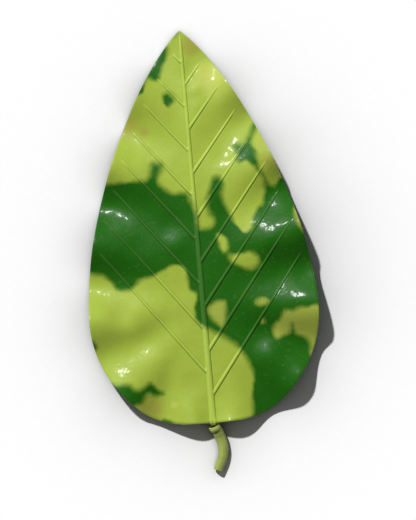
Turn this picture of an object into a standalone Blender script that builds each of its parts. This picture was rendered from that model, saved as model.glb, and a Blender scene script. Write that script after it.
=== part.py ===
"""Variegated broad leaf, cut with its short stalk and lying face up.

Metres, +Z up.  The blade's tip points to +Y, its upper side faces +Z and the
lowest points of the blade and the stalk rest on z = 0.  The origin is the
middle of the underside of the bounding box.

Two pieces: the blade, with the midrib and side veins that grow in it, and the
stalk, whose flared socket receives the midrib's end.
"""
import math

import bmesh
import bpy
import numpy as np
from mathutils import Vector

MM = 0.001

# ---- driving dimensions of the blade, in millimetres ----
BLADE_LENGTH = 300.5            # base margin to tip
BLADE_HALF_WIDTH = 87.2         # at the widest point
WIDEST_AT = 84.0                # height of the widest point above the base
BASE_MARGIN = 0.6               # the blade's lower edge beside the midrib
BLADE_THICKNESS = 0.9

# Half of the outline, base to tip: three cubic curves, four points each.
BASE_CORNER = (55.6, 16.0)
OUTLINE_CURVES = (
    ((0.0, BASE_MARGIN), (20.4, BASE_MARGIN), (40.5, 1.3), BASE_CORNER),
    (BASE_CORNER, (70.9, 30.9), (BLADE_HALF_WIDTH, 50.8), (BLADE_HALF_WIDTH, WIDEST_AT)),
    ((BLADE_HALF_WIDTH, WIDEST_AT), (BLADE_HALF_WIDTH, 160.1), (38.4, 267.6), (0.0, BLADE_LENGTH)),
)
CURVE_SAMPLES = 160

# ---- how the blade arches and waves, in millimetres ----
# Height of the blade's upper side along the midrib, at even steps from base to tip.
MIDRIB_HEIGHTS = (11.6, 13.8, 15.9, 16.8, 10.0, 1.2)
# The margin's mean height and half its rise, at even steps along the margin.
MARGIN_MEAN = {+1: (11.6, 14.2, 22.4, 20.1, 11.0, 1.2), -1: (11.1, 13.2, 12.0, 8.6, 6.6, 1.2)}
MARGIN_SWING = {+1: (5.5, 6.5, 5.9, 8.1, 6.0, 0.0), -1: (5.5, 4.5, 6.4, 6.5, 6.1, 0.0)}
WAVE_LENGTH = 60.9              # one wave of the margin
FIRST_CREST = 14.0              # from the midrib, along the margin
MEAN_FADE = 0.75                # powers by which the margin's level and its waves
WAVE_FADE = 1.2                 # die out towards the midrib
REACH_MIN = 2.4                 # the stretch of margin that a point follows, at the margin
REACH_GROWTH = 0.14             # and its growth with the distance to the margin

# ---- midrib and side veins, in millimetres ----
MIDRIB_RADIUS_BASE = 2.7
MIDRIB_RADIUS_TIP = 1.3
MIDRIB_RISE = 0.7               # ridge height over half width, upper side
MIDRIB_DROP = 0.55              # the same on the underside
MIDRIB_OVERHANG = 1.2           # the midrib's round end beyond the base margin
FIRST_VEIN = {+1: 23.7, -1: 40.9}
VEIN_SPACING = 33.7
VEIN_COUNT = 8                  # on each side
VEIN_ANGLE_BASE = 36.6          # degrees between a side vein and the midrib
VEIN_ANGLE_TIP = 40.0
VEIN_HALF_WIDTH = 1.3
VEIN_RISE = 0.8
VEIN_STOP = 8.0                 # a side vein ends this far before the margin

# ---- grid of the blade ----
FAN_TOP = 19.5                  # rows below this height fan out round the base
FAN_ROWS = 18
FIRST_MARGIN_POINT = 20.0       # where the lowest row meets the margin
MIDRIB_COLUMNS = (0.0, 0.55, 0.9, 1.0)      # parts of the midrib's half width
BLADE_COLUMNS = 7               # from the midrib's side to the margin
GAP = 0.3                       # between neighbouring pieces

# ---- stalk, in millimetres ----
# Middle line (x, y, z) and radius, from the socket's mouth to the cut end.
STALK_ROUTE = (
    ((0.4, -1.0, 8.7), 4.6),
    ((1.2, -3.3, 7.9), 4.5),
    ((2.9, -6.4, 6.3), 4.3),
    ((4.2, -9.6, 4.8), 4.2),
    ((5.5, -14.2, 4.15), 4.05),
    ((5.85, -20.3, 3.95), 3.95),
    ((4.3, -27.0, 3.75), 3.75),
    ((0.4, -35.4, 3.5), 3.5),
)
STALK_SIDES = 16
STALK_STEPS = 3                 # rings to each stretch of the route
SOCKET_WALL = 1.0
SOCKET_DEPTH = 2.6

LEAF_COLOUR = (0.345, 0.455, 0.055, 1.0)
STALK_COLOUR = (0.29, 0.34, 0.09, 1.0)


def clear_scene():
    for old in list(bpy.data.objects):
        bpy.data.objects.remove(old, do_unlink=True)


def plain_material(name, colour, roughness):
    material = bpy.data.materials.new(name)
    material.use_nodes = True
    shader = material.node_tree.nodes["Principled BSDF"]
    shader.inputs["Base Color"].default_value = colour
    shader.inputs["Roughness"].default_value = roughness
    shader.inputs["Metallic"].default_value = 0.0
    return material


# ---------------------------------------------------------------- outline
def bezier(points, t):
    p0, p1, p2, p3 = (np.array(p) for p in points)
    t = t[:, None]
    s = 1.0 - t
    return s**3 * p0 + 3 * s * s * t * p1 + 3 * s * t * t * p2 + t**3 * p3


def half_outline():
    """Points of the right half, base to tip, and the length along it to each."""
    t = np.linspace(0.0, 1.0, CURVE_SAMPLES)
    pieces = [bezier(curve, t)[(0 if i == 0 else 1):] for i, curve in enumerate(OUTLINE_CURVES)]
    points = np.vstack(pieces)
    steps = np.hypot(*np.diff(points, axis=0).T)
    return points, np.concatenate(([0.0], np.cumsum(steps)))


OUTLINE, ALONG = half_outline()
MARGIN_LENGTH = ALONG[-1]


def outline_at(q):
    return np.array((np.interp(q, ALONG, OUTLINE[:, 0]), np.interp(q, ALONG, OUTLINE[:, 1])))


# ---------------------------------------------------------------- heights
def smooth_steps(values, place):
    """A smooth curve through values at even steps; place runs from 0 to 1."""
    knots = np.asarray(values, float)
    slopes = np.gradient(knots)
    last = len(knots) - 1
    u = np.clip(place, 0.0, 1.0) * last
    i = np.minimum(u.astype(int), last - 1)
    t = u - i
    a, b, ma, mb = knots[i], knots[i + 1], slopes[i], slopes[i + 1]
    return (a * (1 + 2 * t) * (1 - t)**2 + ma * t * (1 - t)**2
            + b * t * t * (3 - 2 * t) + mb * t * t * (t - 1))


def margin_levels():
    """Mean height and wave of the margin at each outline point, for both sides."""
    place = ALONG / MARGIN_LENGTH
    wave = np.cos(2 * math.pi * (ALONG - FIRST_CREST) / WAVE_LENGTH)
    return {side: (smooth_steps(MARGIN_MEAN[side], place),
                   smooth_steps(MARGIN_SWING[side], place) * wave) for side in (+1, -1)}


LEVELS = margin_levels()


def blade_height(x, y):
    """Height of the blade's upper side, without ridges, at points x, y.

    Each point takes its level and wave from the stretch of margin nearest to it, the
    wider the further in it lies, and both die out towards the midrib.
    """
    x, y = np.asarray(x, float), np.asarray(y, float)
    away2 = (np.abs(x)[:, None] - OUTLINE[None, :, 0])**2 + (y[:, None] - OUTLINE[None, :, 1])**2
    away = np.sqrt(away2.min(axis=1))
    reach = REACH_MIN + REACH_GROWTH * away
    weight = np.exp((away[:, None]**2 - away2) / (2 * reach[:, None]**2))
    weight /= weight.sum(axis=1, keepdims=True)
    near = np.abs(x) / np.maximum(np.abs(x) + away, 1e-6)
    mean = np.where(x < 0, weight @ LEVELS[-1][0], weight @ LEVELS[+1][0])
    wave = np.where(x < 0, weight @ LEVELS[-1][1], weight @ LEVELS[+1][1])
    middle = smooth_steps(MIDRIB_HEIGHTS, y / BLADE_LENGTH)
    return middle + (mean - middle) * near**MEAN_FADE + wave * near**WAVE_FADE


def midrib_radius(y):
    part = min(max(y / BLADE_LENGTH, 0.0), 1.0)
    return MIDRIB_RADIUS_BASE + (MIDRIB_RADIUS_TIP - MIDRIB_RADIUS_BASE) * part


# ---------------------------------------------------------------- blade
def vein_angle(y):
    return math.radians(VEIN_ANGLE_BASE + (VEIN_ANGLE_TIP - VEIN_ANGLE_BASE) * y / BLADE_LENGTH)


def margin_point_of_row(y):
    """Length along the margin where the row that starts at height y meets it."""
    if y < FAN_TOP:
        top = margin_point_of_row(FAN_TOP)
        part = (y - BASE_MARGIN) / (FAN_TOP - BASE_MARGIN)
        return FIRST_MARGIN_POINT + (top - FIRST_MARGIN_POINT) * part
    angle = vein_angle(y)
    across = ((OUTLINE[:, 0] - midrib_radius(y)) * math.cos(angle)
              - (OUTLINE[:, 1] - y) * math.sin(angle))
    above = OUTLINE[:, 1] > y
    return ALONG[above][np.argmin(np.abs(across[above]))]


def blade_rows():
    """Heights at which rows leave the midrib, and which side's vein each carries."""
    rows = [(y, 0) for y in np.linspace(BASE_MARGIN, FAN_TOP, FAN_ROWS)]
    veins = sorted((FIRST_VEIN[side] + i * VEIN_SPACING, side)
                   for side in (+1, -1) for i in range(VEIN_COUNT))
    for i, (y, side) in enumerate(veins):
        spread = VEIN_HALF_WIDTH / math.sin(vein_angle(y))
        rows += [(y - spread, 0), (y, side), (y + spread, 0)]
        following = veins[i + 1][0] if i + 1 < len(veins) else BLADE_LENGTH - 8.0
        rows.append(((y + following) / 2, 0))
    return rows + [(BLADE_LENGTH - 8.0, 0), (BLADE_LENGTH - 4.0, 0)]


def row_points(y, side, vein):
    """One half row, midrib side to margin: x, y, ridge height and edge flag."""
    radius = midrib_radius(y)
    start = np.array((radius, y))
    end = outline_at(margin_point_of_row(y))
    length = np.hypot(*(end - start))
    points = []
    for i in range(1, BLADE_COLUMNS + 1):
        part = i / BLADE_COLUMNS
        x, height = start + (end - start) * part
        left = length * (1 - part) - VEIN_STOP
        ridge = VEIN_RISE * min(left / 12.0, 1.0) if vein == side and left > 0 else 0.0
        points.append((side * x, height, ridge))
    return points


def midrib_points(y, first):
    """The strip across the midrib, left to right, with a round end on the first row."""
    radius = midrib_radius(y)
    points = []
    for part in [-c for c in reversed(MIDRIB_COLUMNS[1:])] + list(MIDRIB_COLUMNS):
        dome = math.sqrt(max(1.0 - part * part, 0.0))
        overhang = MIDRIB_OVERHANG * dome if first else 0.0
        points.append((part * radius, y - overhang, radius * dome))
    return points


def build_blade():
    grid = []
    for number, (y, vein) in enumerate(blade_rows()):
        left = [(x, v, r, 0.0) for x, v, r in reversed(row_points(y, -1, vein))]
        rib = [(x, v, 0.0, r) for x, v, r in midrib_points(y, number == 0)]
        right = [(x, v, r, 0.0) for x, v, r in row_points(y, +1, vein)]
        grid.append(left + rib + right)
    grid = np.array(grid)                      # rows, columns, (x, y, vein ridge, midrib ridge)
    rows, columns = grid.shape[:2]
    x, y, vein, rib = grid.reshape(-1, 4).T
    surface = blade_height(x, y)
    top = surface + vein + MIDRIB_RISE * rib
    bottom = surface - BLADE_THICKNESS - 0.5 * vein - MIDRIB_DROP * rib
    tip_height = float(blade_height([0.0], [BLADE_LENGTH])[0])

    mesh = bmesh.new()
    layers = []
    for z, tip_z in ((top, tip_height), (bottom, tip_height - BLADE_THICKNESS)):
        verts = [mesh.verts.new((a * MM, b * MM, c * MM)) for a, b, c in zip(x, y, z)]
        tip = mesh.verts.new((0.0, BLADE_LENGTH * MM, tip_z * MM))
        layers.append(([verts[i * columns:(i + 1) * columns] for i in range(rows)], tip))

    for layer, (lines, tip) in enumerate(layers):
        faces = []
        for low, high in zip(lines, lines[1:]):
            faces += [(low[j], low[j + 1], high[j + 1], high[j]) for j in range(columns - 1)]
        faces += [(lines[-1][j], lines[-1][j + 1], tip) for j in range(columns - 1)]
        for face in faces:
            mesh.faces.new(face if layer == 0 else face[::-1])

    def border(lines, tip):
        """Once round the edge, anticlockwise from the lowest row's left end."""
        return (lines[0] + [line[-1] for line in lines[1:]] + [tip]
                + [line[0] for line in reversed(lines[1:])])

    upper, lower = (border(lines, tip) for lines, tip in layers)
    for i in range(len(upper)):
        k = (i + 1) % len(upper)
        mesh.faces.new((upper[i], lower[i], lower[k], upper[k]))
    return finish_object(mesh, "leaf_blade", plain_material("leaf", LEAF_COLOUR, 0.4))


# ---------------------------------------------------------------- stalk
def catmull(points, steps):
    """A smooth curve through all points, with steps points to each stretch."""
    first, last = 2 * points[0] - points[1], 2 * points[-1] - points[-2]
    p = [first, *points, last]
    curve = []
    for i in range(1, len(p) - 2):
        for k in range(steps):
            t = k / steps
            curve.append(0.5 * ((2 * p[i]) + (p[i + 1] - p[i - 1]) * t
                                + (2 * p[i - 1] - 5 * p[i] + 4 * p[i + 1] - p[i + 2]) * t**2
                                + (3 * p[i] - p[i - 1] - 3 * p[i + 1] + p[i + 2]) * t**3))
    return curve + [points[-1]]


def ring(mesh, centre, direction, radius):
    """A level-sided ring of points round a point of the middle line."""
    direction = direction.normalized()
    side = direction.cross(Vector((0, 0, 1))).normalized()
    up = side.cross(direction)
    verts = []
    for i in range(STALK_SIDES):
        angle = 2 * math.pi * i / STALK_SIDES
        offset = side * math.cos(angle) * radius + up * math.sin(angle) * radius
        verts.append(mesh.verts.new((centre + offset) * MM))
    return verts


def bridge(mesh, a, b):
    for i in range(STALK_SIDES):
        k = (i + 1) % STALK_SIDES
        mesh.faces.new((a[i], a[k], b[k], b[i]))


def build_stalk():
    route = catmull([np.array((*centre, radius)) for centre, radius in STALK_ROUTE], STALK_STEPS)
    centres = [Vector(p[:3]) for p in route]
    radii = [float(p[3]) for p in route]
    heading = [(centres[min(i + 1, len(centres) - 1)] - centres[max(i - 1, 0)])
               for i in range(len(centres))]
    mesh = bmesh.new()
    into = heading[0].normalized()
    # the socket's floor and wall, then the rim, then down the outside to the cut end
    rings = [ring(mesh, centres[0] + into * SOCKET_DEPTH, heading[0], radii[0] - SOCKET_WALL - 0.8),
             ring(mesh, centres[0], heading[0], radii[0] - SOCKET_WALL)]
    rings += [ring(mesh, c, h, r) for c, h, r in zip(centres, heading, radii)]
    mesh.faces.new(rings[0])
    for a, b in zip(rings, rings[1:]):
        bridge(mesh, a, b)
    mesh.faces.new(rings[-1][::-1])
    return finish_object(mesh, "stem", plain_material("stem", STALK_COLOUR, 0.5))


# ---------------------------------------------------------------- assembly
def finish_object(mesh, name, material):
    bmesh.ops.recalc_face_normals(mesh, faces=mesh.faces[:])
    data = bpy.data.meshes.new(name)
    mesh.to_mesh(data)
    mesh.free()
    data.materials.append(material)
    data.shade_smooth()
    data.set_sharp_from_angle(angle=math.radians(50))
    item = bpy.data.objects.new(name, data)
    bpy.context.scene.collection.objects.link(item)
    return item


def stand_on_origin(items):
    """Move the pieces together so the box's underside is centred on the origin."""
    corners = np.array([v.co[:] for item in items for v in item.data.vertices])
    low, high = corners.min(axis=0), corners.max(axis=0)
    shift = Vector((-(low[0] + high[0]) / 2, -(low[1] + high[1]) / 2, -low[2]))
    for item in items:
        for v in item.data.vertices:
            v.co += shift


def main():
    clear_scene()
    stand_on_origin([build_blade(), build_stalk()])


main()
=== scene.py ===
import math

import bpy
import numpy as np
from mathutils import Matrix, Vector


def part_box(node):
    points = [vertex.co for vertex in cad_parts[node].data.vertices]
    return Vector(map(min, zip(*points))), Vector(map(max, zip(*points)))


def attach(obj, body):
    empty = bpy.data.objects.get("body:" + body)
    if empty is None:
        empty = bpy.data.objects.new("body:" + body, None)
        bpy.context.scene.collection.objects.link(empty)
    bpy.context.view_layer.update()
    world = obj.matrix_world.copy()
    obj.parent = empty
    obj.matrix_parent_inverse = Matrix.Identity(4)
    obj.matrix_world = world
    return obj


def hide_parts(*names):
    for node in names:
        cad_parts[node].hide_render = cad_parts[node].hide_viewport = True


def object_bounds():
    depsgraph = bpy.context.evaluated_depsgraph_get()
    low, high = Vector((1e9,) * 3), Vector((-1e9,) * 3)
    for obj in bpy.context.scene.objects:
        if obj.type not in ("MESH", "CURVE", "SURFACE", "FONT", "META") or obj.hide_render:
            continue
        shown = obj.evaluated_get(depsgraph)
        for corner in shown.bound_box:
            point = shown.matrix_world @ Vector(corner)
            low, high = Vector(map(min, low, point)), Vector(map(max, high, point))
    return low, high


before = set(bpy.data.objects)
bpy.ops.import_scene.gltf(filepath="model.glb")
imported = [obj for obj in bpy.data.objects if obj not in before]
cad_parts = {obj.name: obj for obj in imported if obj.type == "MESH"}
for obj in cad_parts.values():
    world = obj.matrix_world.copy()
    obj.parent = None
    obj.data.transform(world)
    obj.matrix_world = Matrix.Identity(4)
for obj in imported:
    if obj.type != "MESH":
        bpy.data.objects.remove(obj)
CAD_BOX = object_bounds()

# Looks of the cut variegated leaf: the blade with the midrib and side veins that grow in it,
# and the stalk.  Lengths are in millimetres in the leaf's own measure: x across the blade,
# y from the base margin to the tip, z up.  to_frame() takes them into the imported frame.

MM = 0.001
RIGHT, LEFT = +1, -1

# ---- the blade's outline and heights ----
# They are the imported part's, but the base margin lies 0.5 mm nearer the tip, the half width
# is 0.1 mm less, the blade is 0.2 mm thinner, and the dents and unevenness are added.
BLADE_LENGTH = 300.5            # base to tip
BLADE_HALF_WIDTH = 87.1         # at the widest point
WIDEST_AT = 84.0                # height of the widest point above the base
BASE_MARGIN = 1.1               # the blade's lower edge beside the midrib
# Half of the outline, base to tip: three cubic curves, four points each.
BASE_CORNER = (55.6, 16.0)
OUTLINE_CURVES = (
    ((0.0, BASE_MARGIN), (20.4, BASE_MARGIN), (40.5, 1.3), BASE_CORNER),
    (BASE_CORNER, (70.9, 30.9), (BLADE_HALF_WIDTH, 50.8), (BLADE_HALF_WIDTH, WIDEST_AT)),
    ((BLADE_HALF_WIDTH, WIDEST_AT), (BLADE_HALF_WIDTH, 160.1), (38.4, 267.6), (0.0, BLADE_LENGTH)),
)
CURVE_SAMPLES = 200
# Height along the midrib, and the margin's mean height and half its rise, at even steps.
MIDRIB_HEIGHTS = (11.6, 13.8, 15.9, 16.8, 10.0, 1.2)
MARGIN_MEAN = {RIGHT: (11.6, 14.2, 22.4, 20.1, 11.0, 1.2), LEFT: (11.1, 13.2, 12.0, 8.6, 6.6, 1.2)}
MARGIN_SWING = {RIGHT: (5.5, 6.5, 5.9, 8.1, 6.0, 0.0), LEFT: (5.5, 4.5, 6.4, 6.5, 6.1, 0.0)}
WAVE_LENGTH = 60.9              # one wave of the margin
FIRST_CREST = 14.0              # from the midrib, along the margin
MEAN_FADE = 0.75                # powers by which the margin's level and its waves
WAVE_FADE = 1.2                 # die out towards the midrib
REACH_MIN = 2.4                 # the stretch of margin that a point follows
REACH_GROWTH = 0.14             # and its growth with the distance to the margin
BLADE_THICKNESS = 0.7
EDGE_THINNING = 0.3             # taken off each side at the margin
EDGE_ROUNDING = 0.65            # and how far in it reaches
BASE_SHADE_REACH = 1.5                # painted shade along the base margin's edge
BASE_SHADE_TOP = 12.0                 # and how far up the blade it goes
BASE_SHADE_FADE = 8.0                 # its last part, where the painted shade fades
# Hollows and swells of the blade: x, y, radius and height.
DENTS = (
    (3, 267, 8, -0.9), (12, 266, 8, 1.1), (8, 254, 6, 1.0), (9, 242, 7, 0.9),
    (5, 230, 10, 1.1), (25, 268, 8, -0.4), (26, 203, 7, -0.8), (44, 216, 10, 0.9),
    (46, 198, 10, -0.8), (38, 170, 14, 1.4), (66, 165, 8, 1.2), (54, 134, 8, 1.2),
    (66, 142, 10, -0.6), (80, 109, 9, -0.8), (80, 93, 9, 0.8), (69, 105, 7, 0.6),
    (88, 92, 8, -0.8), (41, 66, 11, -1.2), (44, 49, 9, 0.8), (52, 56, 8, 0.9),
    (36, 57, 8, -0.9), (71, 35, 6, 0.9), (58, 34, 7, -0.8), (24, 137, 8, -0.6),
    (-19, 154, 9, -1.2), (-17, 138, 9, 1.4), (-60, 160, 8, 1.0), (-60, 175, 8, -0.7),
    (-46, 158, 10, 1.0), (-46, 140, 10, -1.2), (-62, 88, 9, -2.9), (-43, 68, 10, -1.3),
    (-31, 78, 10, -0.9), (-43, 50, 9, 0.7), (-70, 49, 8, 0.7), (-15, 31, 9, -1.3),
    (-15, 10, 8, 1.0), (6, 22, 8, -0.6), (20, 5, 6, -0.5), (-12, 6, 5, 0.4),
)
# Small unevenness: cell, height and seed of each noise.
UNEVENNESS = ((26.0, 0.35, 3), (12.0, 0.12, 5))
UNEVEN_FROM_MIDRIB = 14.0       # it grows over this width beside the midrib
NOISE_CELLS = 64                # the noise repeats after this many cells
NOISE_ORIGIN = 500.0            # in cells
POINTS_AT_ONCE = 3000
TINY = 1e-6                     # keeps a divisor above zero

# ---- midrib and side veins ----
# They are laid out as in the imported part, but the right side's veins lie 0.35 mm nearer the
# tip, and the widths and heights of the ridges differ from it by up to half a millimetre.
MIDRIB_RADIUS_BASE = 2.62       # half widths
MIDRIB_RADIUS_TIP = 1.3
MIDRIB_RISE = 0.75              # ridge height over half width, upper side
MIDRIB_DROP = 0.5               # the same on the underside
MIDRIB_OVERHANG = 1.1           # the midrib's round end beyond the base margin
MIDRIB_STOP = 4.0               # the midrib ends this far below the tip
MIDRIB_TAPER = 6.0              # the length over which it narrows there
MIDRIB_END_SHARE = 0.35         # to this part of its width
NOSE_ROWS = 3.0                 # the height up to which rows bend into the round end
NOSE_ROUNDING = 1.3             # the length over which that end rises
FIRST_VEIN = {RIGHT: 24.05, LEFT: 40.9}
VEIN_SPACING = 33.7
VEIN_COUNT = 8                  # on each side
VEIN_ANGLE_BASE = 36.6          # degrees between a side vein and the midrib
VEIN_ANGLE_TIP = 40.0
VEIN_RADIUS = 1.5               # half width beside the midrib
VEIN_RADIUS_END = 0.75          # and at the vein's end
VEIN_TIP_LOSS = 0.2             # a vein at the tip would be thinner by this part
VEIN_TAPER = 0.8                # exponent of the taper along a vein
VEIN_RISE = {RIGHT: 0.8, LEFT: 1.1}     # ridge height over half width
VEIN_STOP = 8.0                 # a side vein ends this far before the margin
VEIN_FADE = 6.0                 # length over which a vein rises from its end
VEIN_REACH = 2.9                # rows up to this far from a vein's middle can carry it
VEIN_TINT = 0.8                 # strength of a vein's own colour
VEIN_TINT_EDGE = 1.2            # where that colour ends, in parts of the half width
VEIN_TINT_BLUR = 0.35           # and over how much it fades
RIDGE_SHAPE = 0.75              # exponent of the ridges' round section
CREASE_DEPTH = 0.09             # of the groove along each ridge's foot
CREASE_WIDTH = 0.45
UNDERSIDE_SHARE = 0.6           # of the veins and grooves that shows on the underside
FAR_IN = 60.0                   # a distance from the margin where a vein is at its full size

# ---- grid of the blade's mesh ----
FAN_TOP = 19.0                  # rows below this height fan out round the base
FAN_ROWS = 66
FIRST_MARGIN_POINT = 20.0       # where the lowest row meets the margin
VEIN_ROWS = (0.0, 0.4, 0.75, 1.05, 1.3, 1.5, 1.8, 2.4)    # distances from a vein's middle
ROW_STEP = 1.7                  # between rows away from the veins
MIDRIB_COLUMNS = (0.0, 0.28, 0.54, 0.76, 0.92, 1.0)         # parts of the midrib's half width
INNER_STEPS = (0.2, 0.35, 0.5, 0.7, 1.0, 1.4)               # columns beside the midrib
MARGIN_STEPS = (1.4, 1.0, 0.7, 0.45, 0.25, 0.15)            # columns next to the margin
MIDDLE_COLUMNS = 34
END_COLUMNS_SHARE = 0.5         # the most that the columns at a row's ends take of it
TIP_GAP = 0.8                   # from the last row to the tip
TIP_ROW_STEP = 1.3              # between rows near the tip

# ---- stalk: middle line (x, y, z) and radius, from the socket's mouth to the cut end ----
STALK_ROUTE = (
    ((0.4, -1.0, 8.7), 4.6),
    ((1.2, -3.3, 7.9), 4.5),
    ((2.9, -6.4, 6.3), 4.3),
    ((4.2, -9.6, 4.8), 4.2),
    ((5.5, -14.2, 4.15), 4.05),
    ((5.85, -20.3, 3.95), 3.95),
    ((4.3, -27.0, 3.75), 3.75),
    ((0.4, -35.4, 3.5), 3.5),
)
STALK_SIDES = 56
STALK_STEPS = 14                # rings to each stretch of the route
SOCKET_WALL = 0.9
SOCKET_DEPTH = 2.4
FOLD_AT = 4.4                   # a crease across the stalk, below the socket, darkened with painted shade
FOLD_WIDTH = 1.35
FOLD_DEPTH = 0.75
FOLD_TURN = 0.6                 # turns the crease's deepest place away from the top, in radians
FOLD_SHADE_TINT = 0.7                 # exponent of its painted shade
# Regions of the stalk's skin, kept as an attribute for the material.
SOCKET, MOUTH, RIM, SIDE, CUT_EDGE, CUT = 1.0, 0.8, 0.5, 0.0, -0.5, -1.0
# Rings inside the socket: part of its depth and part of its radius.
SOCKET_RINGS = ((1.0, 0.3), (1.0, 0.62), (0.93, 0.8), (0.6, 0.94))
RIM_DEPTH = 0.3
RIM_RINGS = 6
# Rings at the cut end: distance from it, part of the radius, length off that, and region.
CUT_RINGS = ((0.25, 1.0, 0.0, SIDE), (0.08, 1.0, 0.08, SIDE), (0.0, 1.0, 0.3, CUT_EDGE),
             (0.05, 0.75, 0.0, CUT), (0.12, 0.45, 0.0, CUT), (0.12, 0.18, 0.0, CUT))
# Lengthwise grain: height, ridges round the stalk, phase, and twist per millimetre.
STALK_GRAIN = ((0.05, 9, 0.7, 0.0), (0.04, 17, 0.0, 0.05))
GRAIN_ROOM = 0.09               # the grain's greatest height, kept inside the radius
STALK_FLOOR = 0.02              # the lowest height of the stalk's skin

# ---- camera and light ----
FRAME_HEIGHT = 395.5            # millimetres of the leaf's plane in the picture's height
CAMERA_OVER = (6.7, 124.6)      # the leaf's point under the middle of the picture
CAMERA_TURN = 4.98              # degrees by which the leaf leans to the left
CAMERA_LENS = 300.0
SENSOR = 36.0
FOCUS_HEIGHT = 5.0              # height of the plane that FRAME_HEIGHT is measured in
CAMERA_CLIP = 50.0              # metres
SUN_HEADING = (0.426, -0.905)   # the way the light travels, over the leaf
SUN_ELEVATION = 46.8
SUN_STRENGTH = 3.7
SUN_SPREAD = 2.6                # degrees
DOME_STRENGTH = 0.142
FLOOR_HALF = 6.0                # metres
FLOOR_GAP = 0.0002              # metres between the floor and the leaf's lowest point


# ================================================================ the leaf's shape
def bezier(points, t):
    p0, p1, p2, p3 = (np.array(p) for p in points)
    t = t[:, None]
    s = 1.0 - t
    return s**3 * p0 + 3 * s * s * t * p1 + 3 * s * t * t * p2 + t**3 * p3


def half_outline():
    """Points of the right half, base to tip, and the length along it to each."""
    t = np.linspace(0.0, 1.0, CURVE_SAMPLES)
    pieces = [bezier(curve, t)[(0 if i == 0 else 1):] for i, curve in enumerate(OUTLINE_CURVES)]
    points = np.vstack(pieces)
    steps = np.hypot(*np.diff(points, axis=0).T)
    return points, np.concatenate(([0.0], np.cumsum(steps)))


OUTLINE, ALONG = half_outline()
MARGIN_LENGTH = ALONG[-1]


def smooth_steps(values, place):
    """A smooth curve through values at even steps; place runs from 0 to 1."""
    knots = np.asarray(values, float)
    slopes = np.gradient(knots)
    last = len(knots) - 1
    u = np.clip(place, 0.0, 1.0) * last
    i = np.minimum(u.astype(int), last - 1)
    t = u - i
    a, b, ma, mb = knots[i], knots[i + 1], slopes[i], slopes[i + 1]
    return (a * (1 + 2 * t) * (1 - t)**2 + ma * t * (1 - t)**2
            + b * t * t * (3 - 2 * t) + mb * t * t * (t - 1))


def margin_levels():
    """Mean height and wave of the margin at each outline point, for both sides."""
    place = ALONG / MARGIN_LENGTH
    wave = np.cos(2 * math.pi * (ALONG - FIRST_CREST) / WAVE_LENGTH)
    return {side: (smooth_steps(MARGIN_MEAN[side], place),
                   smooth_steps(MARGIN_SWING[side], place) * wave) for side in (RIGHT, LEFT)}


LEVELS = margin_levels()


def follow_margin(x, y):
    """Distance to the margin, and the margin's mean and wave there, averaged round it.

    A point follows a stretch of margin that is wider the further in it lies.
    """
    values = np.empty((3, len(x)))
    for start in range(0, len(x), POINTS_AT_ONCE):
        part = slice(start, start + POINTS_AT_ONCE)
        u, v = x[part], y[part]
        away2 = (np.abs(u)[:, None] - OUTLINE[:, 0])**2 + (v[:, None] - OUTLINE[:, 1])**2
        away = np.sqrt(away2.min(axis=1))
        reach = REACH_MIN + REACH_GROWTH * away
        weight = np.exp((away[:, None]**2 - away2) / (2 * reach[:, None]**2))
        weight /= weight.sum(axis=1, keepdims=True)
        mean = np.where(u < 0, weight @ LEVELS[LEFT][0], weight @ LEVELS[RIGHT][0])
        wave = np.where(u < 0, weight @ LEVELS[LEFT][1], weight @ LEVELS[RIGHT][1])
        values[:, part] = away, mean, wave
    return values


def lattice_noise(x, y, cell, seed):
    """Smooth noise from -1 to 1 with features about cell wide."""
    table = np.random.default_rng(seed).uniform(-1, 1, (NOISE_CELLS, NOISE_CELLS))
    u, v = x / cell + NOISE_ORIGIN, y / cell + NOISE_ORIGIN
    i, j = np.floor(u).astype(int), np.floor(v).astype(int)
    fu, fv = u - i, v - j
    fu, fv = fu**3 * (fu * (fu * 6 - 15) + 10), fv**3 * (fv * (fv * 6 - 15) + 10)
    corner = [table[(i + a) % NOISE_CELLS, (j + b) % NOISE_CELLS]
              for a in (0, 1) for b in (0, 1)]
    return ((corner[0] * (1 - fv) + corner[1] * fv) * (1 - fu)
            + (corner[2] * (1 - fv) + corner[3] * fv) * fu)


def blade_height(x, y):
    """Height of the blade's upper side without ridges, and the distance to the margin."""
    away, mean, wave = follow_margin(x, y)
    near = np.abs(x) / np.maximum(np.abs(x) + away, TINY)
    middle = smooth_steps(MIDRIB_HEIGHTS, y / BLADE_LENGTH)
    level = middle + (mean - middle) * near**MEAN_FADE + wave * near**WAVE_FADE
    aside = np.clip(np.abs(x) / UNEVEN_FROM_MIDRIB, 0.0, 1.0)
    uneven = sum(height * lattice_noise(x, y, cell, seed) for cell, height, seed in UNEVENNESS)
    for at_x, at_y, radius, height in DENTS:
        level = level + height * np.exp(-((x - at_x)**2 + (y - at_y)**2) / radius**2)
    return level + uneven * aside, away


def midrib_radius(y):
    part = np.clip(y / BLADE_LENGTH, 0.0, 1.0)
    whole = MIDRIB_RADIUS_BASE + (MIDRIB_RADIUS_TIP - MIDRIB_RADIUS_BASE) * part
    left = np.clip((BLADE_LENGTH - MIDRIB_STOP - y) / MIDRIB_TAPER, 0.0, 1.0)
    return whole * (MIDRIB_END_SHARE + (1.0 - MIDRIB_END_SHARE) * np.sqrt(left))


def vein_angle(y):
    part = y / BLADE_LENGTH
    return math.radians(VEIN_ANGLE_BASE + (VEIN_ANGLE_TIP - VEIN_ANGLE_BASE) * part)


def vein_heights(side):
    return [FIRST_VEIN[side] + i * VEIN_SPACING for i in range(VEIN_COUNT)]


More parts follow.
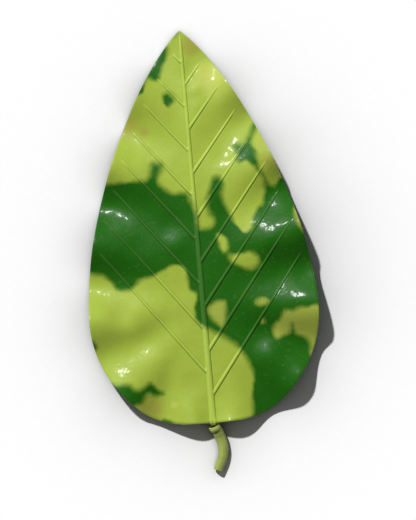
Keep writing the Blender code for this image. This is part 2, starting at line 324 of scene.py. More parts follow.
def margin_point_of_row(y):
    """Length along the margin where the row that starts at height y meets it."""
    if y < FAN_TOP:
        top = margin_point_of_row(FAN_TOP)
        part = (y - BASE_MARGIN) / (FAN_TOP - BASE_MARGIN)
        return FIRST_MARGIN_POINT + (top - FIRST_MARGIN_POINT) * part
    angle = vein_angle(y)
    across = ((OUTLINE[:, 0] - midrib_radius(y)) * math.cos(angle)
              - (OUTLINE[:, 1] - y) * math.sin(angle))
    above = OUTLINE[:, 1] > y
    across, along = across[above], ALONG[above]
    i = int(np.argmax(across < 0))
    if i == 0:
        return along[0]
    return along[i - 1] + (along[i] - along[i - 1]) * across[i - 1] / (across[i - 1] - across[i])


def row_starts():
    """Heights at which the grid's rows leave the midrib: close together at every vein."""
    rows = list(np.linspace(BASE_MARGIN, FAN_TOP, FAN_ROWS))
    last = rows[-1]
    for y in sorted(vein_heights(RIGHT) + vein_heights(LEFT)):
        offsets = [-d for d in reversed(VEIN_ROWS[1:])] + list(VEIN_ROWS)
        close = [y + d / math.sin(vein_angle(y)) for d in offsets]
        between = max(int((close[0] - last) / ROW_STEP), 1)
        rows += list(np.linspace(last, close[0], between + 1)[1:-1]) + close
        last = rows[-1]
    end = BLADE_LENGTH - TIP_GAP
    return np.array(rows + list(np.linspace(last, end, int((end - last) / TIP_ROW_STEP) + 1)[1:]))


def column_parts(length):
    """Parts of a row's length at which its columns lie, midrib side to margin."""
    ends = sum(INNER_STEPS) + sum(MARGIN_STEPS)
    squeeze = min(1.0, END_COLUMNS_SHARE * length / ends)
    inner = np.cumsum(INNER_STEPS) * squeeze
    outer = length - np.cumsum(MARGIN_STEPS[::-1])[::-1] * squeeze
    middle = np.linspace(inner[-1], outer[0], MIDDLE_COLUMNS + 2)[1:-1]
    return np.concatenate((inner, middle, outer, [length])) / length


def ridge(offset, radius):
    """Height of a rounded ridge, over the height of its crest."""
    part = np.abs(offset) / np.maximum(radius, TINY)
    return np.clip(1.0 - part * part, 0.0, 1.0)**RIDGE_SHAPE


def groove(offset, radius):
    """Depth of the groove beside a ridge."""
    gap = (np.abs(offset) - radius) / CREASE_WIDTH
    return CREASE_DEPTH * np.exp(-gap * gap)


def vein_relief(side, y_start, length, left):
    """Ridge, groove and mask of the nearest side vein, along one half row."""
    veins = np.array(vein_heights(side))
    nearest = veins[np.argmin(np.abs(veins - y_start))]
    offset = (y_start - nearest) * math.sin(vein_angle(nearest))
    if abs(offset) > VEIN_REACH or y_start < FAN_TOP:
        return np.zeros((3, len(left)))
    run = np.clip((left - VEIN_STOP) / max(length - VEIN_STOP, 1.0), 0.0, 1.0)
    whole = VEIN_RADIUS * (1.0 - VEIN_TIP_LOSS * nearest / BLADE_LENGTH)
    radius = VEIN_RADIUS_END + (whole - VEIN_RADIUS_END) * run**VEIN_TAPER
    strength = np.sqrt(np.clip((left - VEIN_STOP) / VEIN_FADE, 0.0, 1.0))
    height = VEIN_RISE[side] * radius * ridge(offset, radius) * strength
    tint = np.clip((VEIN_TINT_EDGE - abs(offset) / radius) / VEIN_TINT_BLUR, 0.0, 1.0)
    mask = VEIN_TINT * tint * (strength > 0)
    return np.array((height, groove(offset, radius) * strength, mask))


def half_row(side, y_start):
    """x, y, ridge, groove, mask and underside ridge of one half row, midrib side to margin."""
    radius = float(midrib_radius(y_start))
    start = np.array((radius, y_start))
    q = margin_point_of_row(y_start)
    end = np.array((np.interp(q, ALONG, OUTLINE[:, 0]), np.interp(q, ALONG, OUTLINE[:, 1])))
    length = float(np.hypot(*(end - start)))
    parts = column_parts(length)
    points = start + (end - start) * parts[:, None]
    left = length * (1 - parts)
    height, dip, mask = vein_relief(side, y_start, length, left)
    dip = np.maximum(dip, groove(points[:, 0], radius) * (y_start < BLADE_LENGTH - MIDRIB_STOP))
    drop = UNDERSIDE_SHARE * height
    return np.column_stack((side * points[:, 0], points[:, 1], height, dip, mask, drop))


def midrib_row(y_start):
    """The same values across the midrib, left to right, with a round end at the base."""
    radius = float(midrib_radius(y_start))
    nose = MIDRIB_OVERHANG + BASE_MARGIN
    row = []
    for part in [-c for c in reversed(MIDRIB_COLUMNS[1:])] + list(MIDRIB_COLUMNS):
        dome = math.sqrt(max(1.0 - part * part, 0.0))
        lead = nose * dome * max(1.0 - (y_start - BASE_MARGIN) / NOSE_ROWS, 0.0)
        y = y_start - lead
        from_end = y - BASE_MARGIN + nose * dome
        taper = math.sqrt(max(1.0 - max(1.0 - from_end / NOSE_ROUNDING, 0.0)**2, 0.0))
        rib = dome * radius * taper
        side = RIGHT if part > 0 else LEFT
        vein = vein_relief(side, y_start, FAR_IN, np.array([FAR_IN]))[0, 0] if part else 0.0
        row.append((part * radius, y, max(MIDRIB_RISE * rib, vein), 0.0, 1.0, MIDRIB_DROP * rib))
    return np.array(row)


def leaf_grid():
    """The grid of the blade: rows by columns of x, y, ridge, groove, mask, underside ridge."""
    grid = []
    for y_start in row_starts():
        left, right = half_row(LEFT, y_start), half_row(RIGHT, y_start)
        grid.append(np.vstack((left[::-1], midrib_row(y_start), right)))
    return np.array(grid)


# ================================================================ variegation
# Outlines of the dark green patches and of the pale ones inside them, on the blade.
# Points beyond the margin close a patch that runs out over it.
DARK_PATCHES = (
    # the large field across the middle and the right half
    ((-95, 190), (-66, 189), (-60, 188.5), (-55, 189.5), (-49, 188.5), (-42, 189), (-35, 189),
     (-32, 193), (-31, 199), (-28, 202), (-22.5, 200), (-22.5, 196), (-26, 189), (-25, 185),
     (-20, 180), (-15, 177), (-10, 177), (-5, 176.5), (-2.5, 171), (1, 162), (2, 153),
     (3, 149), (7, 148.5), (12, 150), (14, 155), (10.5, 160), (9, 167), (11, 174), (13, 181),
     (15, 186), (20, 187), (23.5, 181), (21.5, 172), (23.5, 165), (26.5, 159), (31, 148),
     (36, 143), (42, 147), (44, 155), (47, 160), (52, 165), (54, 173), (54, 181), (51, 187),
     (46, 193), (42, 197), (37, 196), (34, 199), (36, 203), (33, 208), (34, 211), (39, 210),
     (43, 212), (46, 217), (48, 221), (51, 226), (60, 226), (80, 190), (100, 150), (105, 100),
     (100, 50), (80, 5), (50, -12), (30, -10), (31, 8), (31.5, 22), (33.5, 35), (30.5, 45),
     (26.5, 53), (20.5, 60), (12, 66), (6, 69.5), (1, 73), (-4, 77), (-6, 82), (-7, 88),
     (-5, 95), (-5, 100), (-9, 104), (-10, 112), (-12, 120), (-18, 122.5), (-24, 122),
     (-31, 118), (-39, 115), (-45, 114.5), (-49, 110.5), (-53, 107.5), (-58, 106.5),
     (-64, 108), (-67, 113), (-71, 117), (-76, 120), (-84, 122), (-95, 122)),
    # left of the tip, running down the margin
    ((-14, 293), (-10.5, 288), (-11, 281), (-14.5, 276), (-16.5, 270), (-18.5, 265), (-22, 264),
     (-27, 266), (-30, 260), (-34, 254), (-45, 258), (-40, 275), (-22, 292)),
    # at the tip itself
    ((-1, 301), (-3, 297.5), (-6, 296.5), (-9, 297), (-6, 302)),
    # a spot under the second left vein
    ((-17, 252), (-13, 254), (-9, 250), (-9, 246), (-14, 243), (-17, 247)),
    # the lobe at the lower left
    ((-88, 38), (-72, 36), (-65, 36), (-60, 35), (-58, 32), (-53, 31), (-49, 34), (-45, 36),
     (-42, 34), (-40, 30), (-35, 26), (-41, 25), (-47, 27), (-50, 24), (-53, 20), (-60, 18),
     (-70, 8)),
    # two small marks on the margin
    ((-38, 7), (-34, 6), (-31, 4), (-33, -2), (-40, 0)),
    ((-94, 72), (-86, 71), (-83, 67), (-84, 63), (-94, 62)),
)
PALE_PATCHES = (
    ((53, 222), (49, 215), (47, 210), (50, 204), (50, 198), (52, 190), (55, 183), (58, 178),
     (63, 177), (67, 182), (80, 184), (70, 205), (58, 226)),
    ((16, 143), (19.5, 142.5), (22.5, 138), (22.5, 132), (20, 129.5), (17.5, 132), (16, 137)),
    ((22, 126.5), (27, 127), (33, 127.5), (39, 128), (44, 124.5), (45, 120), (42, 116), (36, 116),
     (29, 119)),
    ((79, 166), (75.5, 160), (75, 153), (77, 147), (80, 142), (84, 139), (95, 142), (88, 165)),
)
TAN_PATCHES = (
    ((3, 87), (7, 91), (12, 93), (17, 92), (17, 85), (16, 77), (13, 72.5), (9, 76), (5, 81)),
    ((105, 84), (87, 84), (79, 83), (72, 83), (67, 81), (60.5, 82), (58.5, 76), (52.5, 72),
     (51, 66), (53.5, 60.5), (59, 62.5), (65, 65), (66, 71), (68, 63.5), (74, 60), (78, 55.5),
     (79, 51), (78, 46), (92, 42)),
    ((39, 90), (45, 93), (50, 90), (47, 87), (41, 87)),
    ((43, 76), (45, 77), (46, 74), (43, 73)),
    ((56, 221), (51, 214), (50, 209), (53, 203), (55, 197), (62, 197), (72, 201), (60, 226)),
)
# Soft stains: middle, radius and how strongly they turn the green to ochre (or, if
# negative, to a fresher yellow-green).
STAINS = (
    ((8, 287), 10.0, 1.25), ((18, 266), 13.0, -1.2), ((30, 250), 12.0, -0.5),
    ((-46, 232), 10.0, 1.0), ((-33, 225), 4.0, 0.9), ((12, 236), 9.0, 0.25),
    ((33, 231), 9.0, 0.5), ((60, 196), 11.0, 0.9), ((53, 213), 9.0, 0.3), ((-46, 15), 13.0, 1.0),
    ((-29, 17), 4.0, -0.9), ((-62, 90), 16.0, -0.35), ((78, 150), 9.0, 0.9),
    ((24, 175), 18.0, -0.2), ((-70, 205), 12.0, -0.35), ((20, 30), 16.0, 0.15),
    ((-55, 66), 13.0, 0.3), ((-12, 30), 12.0, -0.25), ((28, 14), 6.0, 0.35),
)
PATCH_STEPS = 5                 # points of a patch's smooth edge to each given one


def between_points(before, here, after, beyond, t):
    """Where a smooth curve through four points is, at part t of its way from here to after."""
    return 0.5 * (2 * here + (after - before) * t
                  + (2 * before - 5 * here + 4 * after - beyond) * t**2
                  + (3 * here - before - 3 * after + beyond) * t**3)


def closed_curve(points):
    """A smooth closed curve through the points."""
    here = np.array(points, float)
    before, after, beyond = (np.roll(here, turn, 0) for turn in (1, -1, -2))
    curve = [between_points(before, here, after, beyond, k / PATCH_STEPS)
             for k in range(PATCH_STEPS)]
    return np.stack(curve, axis=1).reshape(-1, 2)


def depth_inside(points, outline):
    """Distance to a closed outline: positive inside, negative outside."""
    curve = closed_curve(outline)
    ends = np.roll(curve, -1, 0)
    x, y = points.T
    best = np.full(len(points), 1e9)
    inside = np.zeros(len(points), bool)
    for (ax, ay), (bx, by) in zip(curve, ends):
        dx, dy = bx - ax, by - ay
        t = np.clip(((x - ax) * dx + (y - ay) * dy) / max(dx * dx + dy * dy, 1e-9), 0, 1)
        best = np.minimum(best, (x - ax - t * dx)**2 + (y - ay - t * dy)**2)
        if ay != by:
            crosses = (ay > y) != (by > y)
            inside ^= crosses & (x < ax + (y - ay) * dx / dy)
    return np.where(inside, 1.0, -1.0) * np.sqrt(best)


def patch_depths(points):
    """Depth into the dark patches and into the tan ones, at points on the blade."""
    dark = np.max([depth_inside(points, p) for p in DARK_PATCHES], axis=0)
    pale = np.max([depth_inside(points, p) for p in PALE_PATCHES], axis=0)
    tan = np.max([depth_inside(points, p) for p in TAN_PATCHES], axis=0)
    return np.minimum(dark, -pale), tan


def stain_strength(points):
    total = np.zeros(len(points))
    for centre, radius, strength in STAINS:
        gap = ((points - np.array(centre))**2).sum(axis=1)
        total += strength * np.exp(-gap / (radius * radius))
    return total


# ================================================================ meshes
BLADE_LOW, BLADE_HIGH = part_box("leaf_blade")
STEM_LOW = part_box("stem")[0]
SHIFT_X = (BLADE_LOW.x + BLADE_HIGH.x) / 2
SHIFT_Y = BLADE_HIGH.y - BLADE_LENGTH * MM


def to_frame(points, shift_z=0.0):
    """Points in the leaf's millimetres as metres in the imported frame."""
    moved = np.array(points, float) * MM
    moved[:, 0] += SHIFT_X
    moved[:, 1] += SHIFT_Y
    moved[:, 2] += shift_z
    return moved


def mesh_object(name, points, faces, material, attributes):
    data = bpy.data.meshes.new(name)
    data.from_pydata(points.tolist(), [], faces)
    data.update()
    for key, values in attributes.items():
        layer = data.attributes.new(key, "FLOAT", "POINT")
        layer.data.foreach_set("value", np.asarray(values, np.float32))
    data.materials.append(material)
    data.shade_smooth()
    item = bpy.data.objects.new(name, data)
    bpy.context.scene.collection.objects.link(item)
    return item


def grid_faces(rows, columns, first, tip, flip):
    """Faces of a grid whose vertices start at first, closed with a fan at its tip."""
    faces = []
    for i in range(rows - 1):
        for j in range(columns - 1):
            a = first + i * columns + j
            faces.append((a, a + 1, a + columns + 1, a + columns))
    last = first + (rows - 1) * columns
    faces += [(last + j, last + j + 1, tip) for j in range(columns - 1)]
    return [face[::-1] for face in faces] if flip else faces


def border(rows, columns, first, tip):
    """Vertex numbers once round the grid's edge, anticlockwise from above."""
    bottom = [first + j for j in range(columns)]
    right = [first + i * columns + columns - 1 for i in range(1, rows)]
    left = [first + i * columns for i in range(rows - 1, 0, -1)]
    return bottom + right + [tip] + left


def build_blade(material):
    grid = leaf_grid()
    rows, columns = grid.shape[:2]
    x, y, rise, dip, mask, drop = grid.reshape(-1, 6).T
    x, y = np.append(x, 0.0), np.append(y, BLADE_LENGTH)
    rise, dip, mask, drop = (np.append(v, 0.0) for v in (rise, dip, mask, drop))
    surface, away = blade_height(x, y)
    thin = EDGE_THINNING * np.exp(-(away / EDGE_ROUNDING)**2) * (mask < 1)
    count = len(x)
    upper = np.column_stack((x, y, surface + rise - dip - thin))
    lower = np.column_stack((x, y, surface - BLADE_THICKNESS - drop + UNDERSIDE_SHARE * dip + thin))
    points = np.vstack((upper, lower))
    low, high = points[:, 2].min(), points[:, 2].max()
    room = (BLADE_HIGH.z - BLADE_LOW.z) / MM
    points[:, 2] = (points[:, 2] - low) * min(room / (high - low), 1.0)
    faces = grid_faces(rows, columns, 0, count - 1, False)
    faces += grid_faces(rows, columns, count, 2 * count - 1, True)
    top = border(rows, columns, 0, count - 1)
    bottom = border(rows, columns, count, 2 * count - 1)
    for i in range(len(top)):
        k = (i + 1) % len(top)
        faces.append((top[i], bottom[i], bottom[k], top[k]))

    flat = np.column_stack((x, y))
    dark, tan = patch_depths(flat)
    stain = stain_strength(flat)
    # painted shade: the grooves beside the left half's ridges are marked for darkening
    crease_shade = dip / CREASE_DEPTH * (x < 0)
    # painted shade along the base margin's edge
    base_edge_shade = np.exp(-(away / BASE_SHADE_REACH)**2) * np.clip((BASE_SHADE_TOP - y) / BASE_SHADE_FADE, 0.0, 1.0)
    both = {"dark": dark, "tan": tan, "stain": stain, "rib": mask, "crease_shade": crease_shade, "base_edge_shade": base_edge_shade,
            "margin": away}
    attributes = {key: np.tile(values, 2) for key, values in both.items()}
    attributes["under"] = np.repeat((0.0, 1.0), count)
    placed = to_frame(points, BLADE_LOW.z)
    return mesh_object("leaf_blade_skin", placed, faces, material, attributes)


def open_curve(points, steps):
    """A smooth curve through all points, with steps points to each stretch."""
    p = [2 * points[0] - points[1], *points, 2 * points[-1] - points[-2]]
    curve = [between_points(*p[i - 1:i + 3], k / steps)
             for i in range(1, len(p) - 2) for k in range(steps)]
    return curve + [points[-1]]


def stalk_rings():
    """Centre, heading, radius and region of each ring, socket floor to cut end."""
    route = open_curve([np.array((*centre, radius)) for centre, radius in STALK_ROUTE],
                       STALK_STEPS)
    centres = [Vector(p[:3]) for p in route]
    radii = [float(p[3]) for p in route]
    headings = [(centres[min(i + 1, len(centres) - 1)] - centres[max(i - 1, 0)]).normalized()
                for i in range(len(centres))]
    into, mouth, wide = headings[0], centres[0], radii[0]
    inner = wide - SOCKET_WALL
    rings = [(mouth + into * SOCKET_DEPTH * deep, into, inner * part, SOCKET)
             for deep, part in SOCKET_RINGS]
    rings.append((mouth + into * RIM_DEPTH, into, inner, MOUTH))
    for k in range(1, RIM_RINGS):
        angle = math.pi * k / RIM_RINGS
        rings.append((mouth + into * (RIM_DEPTH - RIM_DEPTH * math.sin(angle)), into,
                      wide - SOCKET_WALL / 2 - SOCKET_WALL / 2 * math.cos(angle), RIM))
    rings += [(*ring, SIDE) for ring in list(zip(centres, headings, radii))[1:-1]]
    end, out, last = centres[-1], headings[-1], radii[-1]
    rings += [(end - out * back, out, last * part - less, region)
              for back, part, less, region in CUT_RINGS]
    return rings


def stalk_grain(angle, travelled):
    return sum(height * math.sin(count * angle + phase + twist * travelled)
               for height, count, phase, twist in STALK_GRAIN)


def build_stalk(material):
    points, around, along, regions, fold_shade = [], [], [], [], []
    rings = stalk_rings()
    travelled = 0.0
    for number, (centre, heading, radius, region) in enumerate(rings):
        side = heading.cross(Vector((0, 0, 1))).normalized()
        up = side.cross(heading)
        if number and region == SIDE:
            travelled += (centre - rings[number - 1][0]).length
        for i in range(STALK_SIDES):
            angle = 2 * math.pi * i / STALK_SIDES
            over = max(math.sin(angle + FOLD_TURN), 0.0)
            crease = over * math.exp(-((travelled - FOLD_AT) / FOLD_WIDTH)**2)
            r = radius - GRAIN_ROOM
            if region == SIDE:
                r += stalk_grain(angle, travelled) - FOLD_DEPTH * crease
            p = centre + side * (math.cos(angle) * r) + up * (math.sin(angle) * r)
            points.append(p[:])
            around.append(angle)
            along.append(travelled)
            regions.append(region)
            # painted shade in the crease across the stalk
            fold_shade.append(crease**FOLD_SHADE_TINT if region == SIDE else 0.0)
    faces = []
    for n in range(len(rings) - 1):
        for i in range(STALK_SIDES):
            k = (i + 1) % STALK_SIDES
            a, b = n * STALK_SIDES, (n + 1) * STALK_SIDES
            faces.append((a + i, b + i, b + k, a + k))
    faces.append(tuple(range(STALK_SIDES)))
    faces.append(tuple(range(len(points) - 1, len(points) - STALK_SIDES - 1, -1)))
    points = np.array(points)
    points[:, 2] = np.maximum(points[:, 2], STALK_FLOOR)
    attributes = {"region": regions, "around": around, "along": along, "fold_shade": fold_shade}
    return mesh_object("stem_skin", to_frame(points, STEM_LOW.z), faces, material, attributes)


# ================================================================ materials
class Tree:
    """Short calls for building one material's node tree."""

    def __init__(self, name):
        self.material = bpy.data.materials.new(name)
        self.material.use_nodes = True
        self.nodes = self.material.node_tree.nodes
        self.links = self.material.node_tree.links
        self.shader = self.nodes["Principled BSDF"]

    def set(self, socket, value):
        if isinstance(value, bpy.types.NodeSocket):
            self.links.new(value, socket)
        else:
            socket.default_value = value

    def add(self, kind, inputs=(), **settings):
        made = self.nodes.new("ShaderNode" + kind)
        for key, value in settings.items():
            setattr(made, key, value)
        for key, value in dict(inputs).items():
            self.set(made.inputs[key], value)
        return made

    def value(self, name):
        return self.add("Attribute", attribute_name=name).outputs["Fac"]

    def math(self, operation, a, b=0.0, c=0.0):
        return self.add("Math", {0: a, 1: b, 2: c}, operation=operation).outputs[0]

    def ramp(self, value, low, high, out_low=0.0, out_high=1.0, kind="SMOOTHSTEP"):
        made = self.add("MapRange", {"Value": value, "From Min": low, "From Max": high,
                                     "To Min": out_low, "To Max": out_high},
                        interpolation_type=kind)
        return made.outputs[0]

    def mix(self, factor, a, b):
        made = self.add("Mix", {0: factor}, data_type="RGBA")
        self.set(made.inputs[6], a)
        self.set(made.inputs[7], b)
        return made.outputs[2]

    def tint(self, mask, strength, a, b):
        """Colour a, turned towards b by strength where the mask is 1."""
        return self.mix(self.math("MULTIPLY", mask, strength), a, b)

    def place(self):
        return self.add("TexCoord").outputs["Object"]

    def noise(self, at, scale, detail, rough):
        made = self.add("TexNoise", {"Vector": at, "Scale": scale, "Detail": detail,
                                     "Roughness": rough})
        return made.outputs["Fac"]

    def cloud(self, at, noise, span):
        """A noise turned into a mask, from 0 to 1 over the span of its values."""
        return self.ramp(self.noise(at, *noise), *span)

    def bump(self, height, strength, distance, normal=None):
        inputs = {"Height": height, "Strength": strength, "Distance": distance}
        if normal is not None:
            inputs["Normal"] = normal
        return self.add("Bump", inputs).outputs["Normal"]

    def finish(self, colour, roughness, normal):
        self.set(self.shader.inputs["Base Color"], colour)
        self.set(self.shader.inputs["Roughness"], roughness)
        self.set(self.shader.inputs["Normal"], normal)
        return self.material


# ---- the leaf's colours ----
LIME = (0.347, 0.458, 0.054, 1)
LIME_FRESH = (0.45, 0.52, 0.082, 1)
LIME_DEEP = (0.33, 0.435, 0.048, 1)
OCHRE = (0.33, 0.345, 0.05, 1)
DARK = (0.0125, 0.111, 0.003, 1)
DARK_PALE = (0.015, 0.122, 0.004, 1)
TAN = (0.345, 0.42, 0.06, 1)
RIB_LIME = (0.42, 0.55, 0.082, 1)
RIB_DARK = (0.051, 0.168, 0.024, 1)
HAIR_AND_SHEEN = (0.42, 0.52, 0.25, 1)
BASE_EDGE_SHADE = (0.06, 0.09, 0.01, 1)
# painted highlight: a paler, greyer rim along the margin
EDGE_HIGHLIGHT_LIME = (0.36, 0.42, 0.1, 1)
EDGE_HIGHLIGHT_DARK = (0.06, 0.16, 0.03, 1)
UNDER_LIME = (0.36, 0.43, 0.13, 1)
UNDER_DARK = (0.07, 0.18, 0.05, 1)
UNDER_RIB = (0.45, 0.5, 0.2, 1)
BLACK = (0, 0, 0, 1)
WHITE = (1, 1, 1, 1)

# ---- the leaf's patterns.  A noise is its scale in cells to the metre, detail and roughness;
# a cloud is a noise and the values between which its mask goes from 0 to 1 ----
FRAY = (170.0, 3.0, 0.55)       # makes the patches' edges ragged
FRAY_DEPTH = 3.2                # millimetres, from the shallowest to the deepest
SOFTNESS = (40.0, 2.0, 0.5)     # makes those edges sharper here and softer there
SOFTNESS_SPAN = (0.32, 0.68)
SOFTNESS_WIDTHS = (1.3, 4.2)    # millimetres
DARK_SPAN = (-1.0, 1.0)         # depth into a patch over which it appears, in those widths
TAN_SPAN = (-0.8, 1.0)
TAN_FRAY = 0.8                  # part of the fray that the tan patches get
STAIN_NOISE = (28.0, 3.0, 0.5)
STAIN_SWING = 0.9
FRESH_SPAN = (-0.1, -1.1)       # stain values over which the green turns fresher
OCHRE_SPAN = (0.12, 1.15)       # or turns to ochre
LIME_CLOUD = ((60.0, 4.0, 0.6), (0.35, 0.7))
DARK_CLOUD = ((75.0, 4.0, 0.6), (0.45, 0.8))
HAIR_NOISE = (210.0, 1.0, 0.5)  # the scratches run where it is halfway
HAIR_WIDTH = 0.022
HAIR_CLOUD = ((330.0, 1.0, 0.5), (0.54, 0.6))   # cuts them into short lengths
EDGE_HIGHLIGHT_SPAN = (0.1, 0.7)          # millimetres from the margin over which the painted highlight fades

# ---- strengths of the leaf's tints, and its gloss ----
HAIR_SHEEN_TINT = 0.08
RIB_TINT = 0.85
CREASE_SHADE_TINT = 0.12
BASE_EDGE_SHADE_TINT = 0.6
EDGE_HIGHLIGHT_TINT = 0.35
UNDER_RIB_TINT = 0.6
ROUGHNESS = 0.40
GRAIN = (420.0, 4.0, 0.6)
GRAIN_ROUGHNESS = 0.12          # added by the grain
UNDER_ROUGHNESS = 0.16          # added on the underside
SPECULAR = 0.105
COAT = 0.062
COAT_ROUGHNESS = 0.15
# Bumps: noise, and height in metres.
SWELL, SWELL_HEIGHT = (110.0, 3.0, 0.6), 0.0003
PORES, PORE_HEIGHT = (900.0, 3.0, 0.6), 0.00004
FILM, FILM_HEIGHT = (110.0, 2.0, 0.45), 0.0006
HAIR_HEIGHT = 0.00003


def hair_lines(tree, at):
    """Fine curved scratches, in short lengths."""
    off_middle = tree.math("ABSOLUTE", tree.math("SUBTRACT", tree.noise(at, *HAIR_NOISE), 0.5))
    line = tree.ramp(off_middle, 0.0, HAIR_WIDTH, 1.0, 0.0)
    return tree.math("MULTIPLY", line, tree.cloud(at, *HAIR_CLOUD))


def patch_masks(tree, at):
    """How far the skin is dark green, and how far it is tan."""
    fray = tree.math("MULTIPLY_ADD", tree.noise(at, *FRAY), FRAY_DEPTH, -FRAY_DEPTH / 2)
    width = tree.ramp(tree.noise(at, *SOFTNESS), *SOFTNESS_SPAN, *SOFTNESS_WIDTHS, "LINEAR")
    dark = tree.math("ADD", tree.value("dark"), fray)
    tan = tree.math("MULTIPLY_ADD", fray, TAN_FRAY, tree.value("tan"))
    return (tree.ramp(tree.math("DIVIDE", dark, width), *DARK_SPAN),
            tree.ramp(tree.math("DIVIDE", tan, width), *TAN_SPAN))


def leaf_material():
    tree = Tree("leaf_skin")
    at = tree.place()
    dark, tan = patch_masks(tree, at)
    lines, rib, under = hair_lines(tree, at), tree.value("rib"), tree.value("under")

    swing = tree.math("MULTIPLY_ADD", tree.noise(at, *STAIN_NOISE), STAIN_SWING, -STAIN_SWING / 2)
    stain = tree.math("ADD", tree.value("stain"), swing)
    lime = tree.mix(tree.cloud(at, *LIME_CLOUD), LIME, LIME_DEEP)
    lime = tree.mix(tree.ramp(stain, *FRESH_SPAN), lime, LIME_FRESH)
    lime = tree.mix(tree.ramp(stain, *OCHRE_SPAN), lime, OCHRE)
    green = tree.mix(tree.cloud(at, *DARK_CLOUD), DARK, DARK_PALE)
    skin = tree.mix(tan, tree.mix(dark, lime, green), TAN)

    # paler scratch lines: partly their own colour, partly painted sheen
    skin = tree.tint(lines, HAIR_SHEEN_TINT, skin, HAIR_AND_SHEEN)
    skin = tree.tint(rib, RIB_TINT, skin, tree.mix(dark, RIB_LIME, RIB_DARK))
    # painted shade, darkening the grooves beside the left half's ridges
    skin = tree.tint(tree.value("crease_shade"), CREASE_SHADE_TINT, skin, BLACK)
    # painted shade along the base margin's edge
    skin = tree.tint(tree.value("base_edge_shade"), BASE_EDGE_SHADE_TINT, skin, BASE_EDGE_SHADE)
    # painted highlight: a paler, greyer rim along the margin
    edge_highlight = tree.ramp(tree.value("margin"), *EDGE_HIGHLIGHT_SPAN, EDGE_HIGHLIGHT_TINT, 0.0)
    skin = tree.mix(edge_highlight, skin, tree.mix(dark, EDGE_HIGHLIGHT_LIME, EDGE_HIGHLIGHT_DARK))
    beneath = tree.tint(rib, UNDER_RIB_TINT, tree.mix(dark, UNDER_LIME, UNDER_DARK), UNDER_RIB)
    skin = tree.mix(under, skin, beneath)

    rough = tree.math("MULTIPLY_ADD", tree.noise(at, *GRAIN), GRAIN_ROUGHNESS, ROUGHNESS)
    rough = tree.math("MULTIPLY_ADD", under, UNDER_ROUGHNESS, rough)
    tree.shader.inputs["Specular IOR Level"].default_value = SPECULAR
    tree.shader.inputs["Coat Weight"].default_value = COAT
    tree.shader.inputs["Coat Roughness"].default_value = COAT_ROUGHNESS
    film = tree.bump(tree.noise(at, *FILM), 1.0, FILM_HEIGHT)
    tree.set(tree.shader.inputs["Coat Normal"], film)
    normal = tree.bump(tree.noise(at, *SWELL), 1.0, SWELL_HEIGHT)
    normal = tree.bump(tree.noise(at, *PORES), 1.0, PORE_HEIGHT, normal)
    normal = tree.bump(lines, 1.0, HAIR_HEIGHT, normal)
    return tree.finish(skin, rough, normal)


# ---- the stalk's looks ----
STALK_GREEN = (0.28, 0.345, 0.06, 1)
STALK_PALE = (0.35, 0.42, 0.088, 1)
STALK_BLOTCH = (0.22, 0.26, 0.055, 1)
STALK_FLECK = (0.13, 0.15, 0.03, 1)
STALK_FOLD_SHADE = (0.075, 0.085, 0.008, 1)
STALK_RIM_HIGHLIGHT = (0.53, 0.61, 0.15, 1)
STALK_SOCKET_SHADE = (0.25, 0.29, 0.06, 1)
PITH_PALE = (0.42, 0.44, 0.2, 1)
PITH_DARK = (0.24, 0.26, 0.08, 1)
STREAKS = (1.0, 4.0, 0.6)
STREAKS_AROUND, STREAKS_ALONG = 5.0, 0.12       # scales by the radian and by the millimetre
STREAK_SPAN = (0.3, 0.72)
BLOTCHES = (130.0, 3.0, 0.6)
BLOTCH_SPAN = (0.45, 0.8)
BLOTCH_TINT = 0.6
FLECK_SCALE = 420.0
FLECK_SPAN = (0.12, 0.3)
FLECKED_SPAN = (22.0, 38.0)     # the flecks grow stronger over this stretch of the stalk
FLECK_LEAST, FLECK_MORE = 0.08, 0.5
LIP_HIGHLIGHT_SPAN = (1.0, 3.0)           # painted highlight on the lip under the rim
LIP_HIGHLIGHT_TINT = 0.7
RIM_SPAN = (0.3, 0.6)           # region values over which each colour comes in
SOCKET_SPAN = (0.75, 1.0)
CUT_SPAN = (-0.4, -0.9)
PITH_CLOUD = ((1600.0, 2.0, 0.5), (0.45, 0.62))
STALK_ROUGHNESS, BLOTCH_ROUGHNESS = 0.42, 0.2
STALK_COAT, STALK_COAT_ROUGHNESS = 0.08, 0.35
STREAK_BUMP = (0.7, 0.00012)    # strength, and height in metres
STALK_PORES, STALK_PORE_BUMP = (700.0, 3.0, 0.5), (0.8, 0.00004)


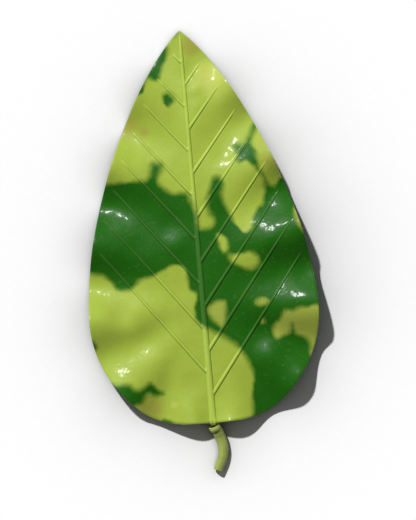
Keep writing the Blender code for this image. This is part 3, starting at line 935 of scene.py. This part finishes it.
def stalk_material():
    tree = Tree("stem_skin")
    at = tree.place()
    region, along = tree.value("region"), tree.value("along")
    round_it = tree.math("MULTIPLY", tree.value("around"), STREAKS_AROUND)
    down_it = tree.math("MULTIPLY", along, STREAKS_ALONG)
    streaks_at = tree.add("CombineXYZ", {0: round_it, 1: down_it}).outputs[0]
    streaks, blotches = tree.noise(streaks_at, *STREAKS), tree.noise(at, *BLOTCHES)

    green = tree.mix(tree.ramp(streaks, *STREAK_SPAN), STALK_GREEN, STALK_PALE)
    green = tree.mix(tree.ramp(blotches, *BLOTCH_SPAN, 0.0, BLOTCH_TINT), green, STALK_BLOTCH)
    flecks = tree.add("TexVoronoi", {"Vector": at, "Scale": FLECK_SCALE})
    spots = tree.ramp(flecks.outputs["Distance"], *FLECK_SPAN, 1.0, 0.0)
    depth = tree.math("MULTIPLY_ADD", tree.ramp(along, *FLECKED_SPAN), FLECK_MORE, FLECK_LEAST)
    green = tree.tint(spots, depth, green, STALK_FLECK)
    # painted shade in the crease across the stalk
    green = tree.mix(tree.value("fold_shade"), green, STALK_FOLD_SHADE)
    # painted highlight on the socket's rim and on the lip below it
    lip_highlight = tree.ramp(along, *LIP_HIGHLIGHT_SPAN, LIP_HIGHLIGHT_TINT, 0.0)
    rim_highlight = tree.math("MAXIMUM", tree.ramp(region, *RIM_SPAN), lip_highlight)
    green = tree.mix(rim_highlight, green, STALK_RIM_HIGHLIGHT)
    # painted shade: a little darker inside the socket
    green = tree.mix(tree.ramp(region, *SOCKET_SPAN), green, STALK_SOCKET_SHADE)
    pith = tree.mix(tree.cloud(at, *PITH_CLOUD), PITH_PALE, PITH_DARK)
    green = tree.mix(tree.ramp(region, *CUT_SPAN), green, pith)

    rough = tree.math("MULTIPLY_ADD", blotches, BLOTCH_ROUGHNESS, STALK_ROUGHNESS)
    tree.shader.inputs["Coat Weight"].default_value = STALK_COAT
    tree.shader.inputs["Coat Roughness"].default_value = STALK_COAT_ROUGHNESS
    normal = tree.bump(streaks, *STREAK_BUMP)
    normal = tree.bump(tree.noise(at, *STALK_PORES), *STALK_PORE_BUMP, normal)
    return tree.finish(green, rough, normal)


# ---- the floor's looks: white, with painted shade near and under the leaf ----
FLOOR_SHADE = (0.02, 0.02, 0.02, 1)
SHADE_REACH = 0.13              # metres
SHADE_SAMPLES = 32
SHADE_SPAN = (0.08, 0.93)       # openness over which the floor goes from dark to white
HALO_DEPTH = 0.5                # of the painted soft shade round the leaf
FLOOR_ROUGHNESS = 0.9
FLOOR_SPECULAR = 0.1


def floor_material():
    tree = Tree("studio_floor")
    shade = tree.add("AmbientOcclusion", {"Distance": SHADE_REACH}, samples=SHADE_SAMPLES)
    nearby = shade.outputs["AO"]
    deep = tree.ramp(nearby, *SHADE_SPAN, 0.0, 1.0, "LINEAR")
    halo = tree.math("SQRT", tree.math("SUBTRACT", 1.0, nearby))
    halo = tree.math("MULTIPLY_ADD", halo, -HALO_DEPTH, 1.0)
    colour = tree.mix(tree.math("MINIMUM", deep, halo), FLOOR_SHADE, WHITE)
    tree.set(tree.shader.inputs["Base Color"], colour)
    tree.shader.inputs["Roughness"].default_value = FLOOR_ROUGHNESS
    tree.shader.inputs["Specular IOR Level"].default_value = FLOOR_SPECULAR
    return tree.material


# ================================================================ stage
def build_floor():
    corners = ((-1, -1, 0), (1, -1, 0), (1, 1, 0), (-1, 1, 0))
    points = np.array(corners) * FLOOR_HALF
    floor = mesh_object("studio_floor", points, [(0, 1, 2, 3)], floor_material(), {})
    floor.location.z = CAD_BOX[0].z - FLOOR_GAP


def build_camera():
    data = bpy.data.cameras.new("camera")
    data.lens = CAMERA_LENS
    data.sensor_width = SENSOR
    data.clip_end = CAMERA_CLIP
    item = bpy.data.objects.new("camera", data)
    bpy.context.scene.collection.objects.link(item)
    distance = FRAME_HEIGHT * CAMERA_LENS / SENSOR + FOCUS_HEIGHT
    item.location = to_frame([(*CAMERA_OVER, distance)])[0]
    item.rotation_euler = (0.0, 0.0, -math.radians(CAMERA_TURN))
    bpy.context.scene.camera = item


def build_lights():
    data = bpy.data.lights.new("key", "SUN")
    data.energy = SUN_STRENGTH
    data.angle = math.radians(SUN_SPREAD)
    item = bpy.data.objects.new("key", data)
    bpy.context.scene.collection.objects.link(item)
    level = math.cos(math.radians(SUN_ELEVATION))
    x, y = SUN_HEADING
    travel = Vector((x * level, y * level, -math.sin(math.radians(SUN_ELEVATION))))
    item.rotation_euler = travel.to_track_quat("-Z", "Y").to_euler()
    world = bpy.data.worlds.new("dome")
    world.use_nodes = True
    back = world.node_tree.nodes["Background"]
    back.inputs["Color"].default_value = WHITE
    back.inputs["Strength"].default_value = DOME_STRENGTH
    bpy.context.scene.world = world
    bpy.context.scene.view_settings.view_transform = "Standard"


def main():
    build_floor()
    build_camera()
    build_lights()
    blade = build_blade(leaf_material())
    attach(blade, "root")
    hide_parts("leaf_blade")
    stalk = build_stalk(stalk_material())
    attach(stalk, "root")
    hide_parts("stem")


main()
